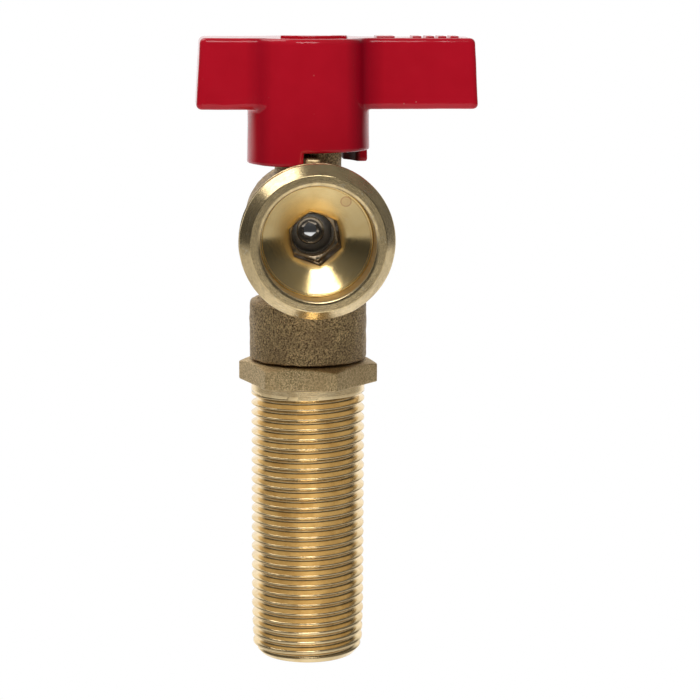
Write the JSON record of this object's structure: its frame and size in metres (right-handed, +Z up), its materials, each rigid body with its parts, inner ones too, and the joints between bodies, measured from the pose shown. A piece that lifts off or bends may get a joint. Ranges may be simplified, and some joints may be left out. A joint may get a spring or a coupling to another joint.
{
  "type": "hose bib",
  "caption": "Quarter-turn brass angle valve: upright threaded inlet shank with a hex flange, side hose-thread outlet, inner ball and a red two-armed handle.",
  "frame": {"origin": "on the inlet shank's axis, in the plane of the hex flange's underside, where the shank passes through a panel or a wall box", "axes": "+Z up along the shank and the stem towards the handle, -Y out of the hose outlet, +X along the handle's long arm when the valve is closed"},
  "size_m": [0.0506, 0.0378, 0.1136],
  "materials": {
    "cast_brass": "sand-cast, matt, dark bronze-brown grain",
    "turned_brass": "machined, bright with fine tool marks",
    "ball_chrome": "polished chrome plate",
    "fastener_steel": "zinc-plated steel",
    "seat_ptfe": "smooth waxy PTFE",
    "seal_rubber": "matt black nitrile",
    "red_paint": "thick glossy red coating over a die casting"
  },
  "bodies": {
    "valve": {"valve_body": "cast_brass", "inlet_shank": "turned_brass", "seat_retainer": "turned_brass", "retainer_o_ring": "seal_rubber", "front_seat": "seat_ptfe", "rear_seat": "seat_ptfe"},
    "handle_and_stem": {"handle": "red_paint", "handle_screw": "fastener_steel", "handle_lock_washer": "fastener_steel", "stem": "turned_brass", "thrust_washer": "seat_ptfe", "lower_stem_o_ring": "seal_rubber", "upper_stem_o_ring": "seal_rubber", "ball": "ball_chrome"}
  },
  "joints": [
    {"name": "handle_turn", "type": "hinge", "parent": "valve", "child": "handle_and_stem", "pos_m": [0, 0, 0.05], "axis": [0, 0, 1], "range_deg": [-90, 0]}
  ]
}
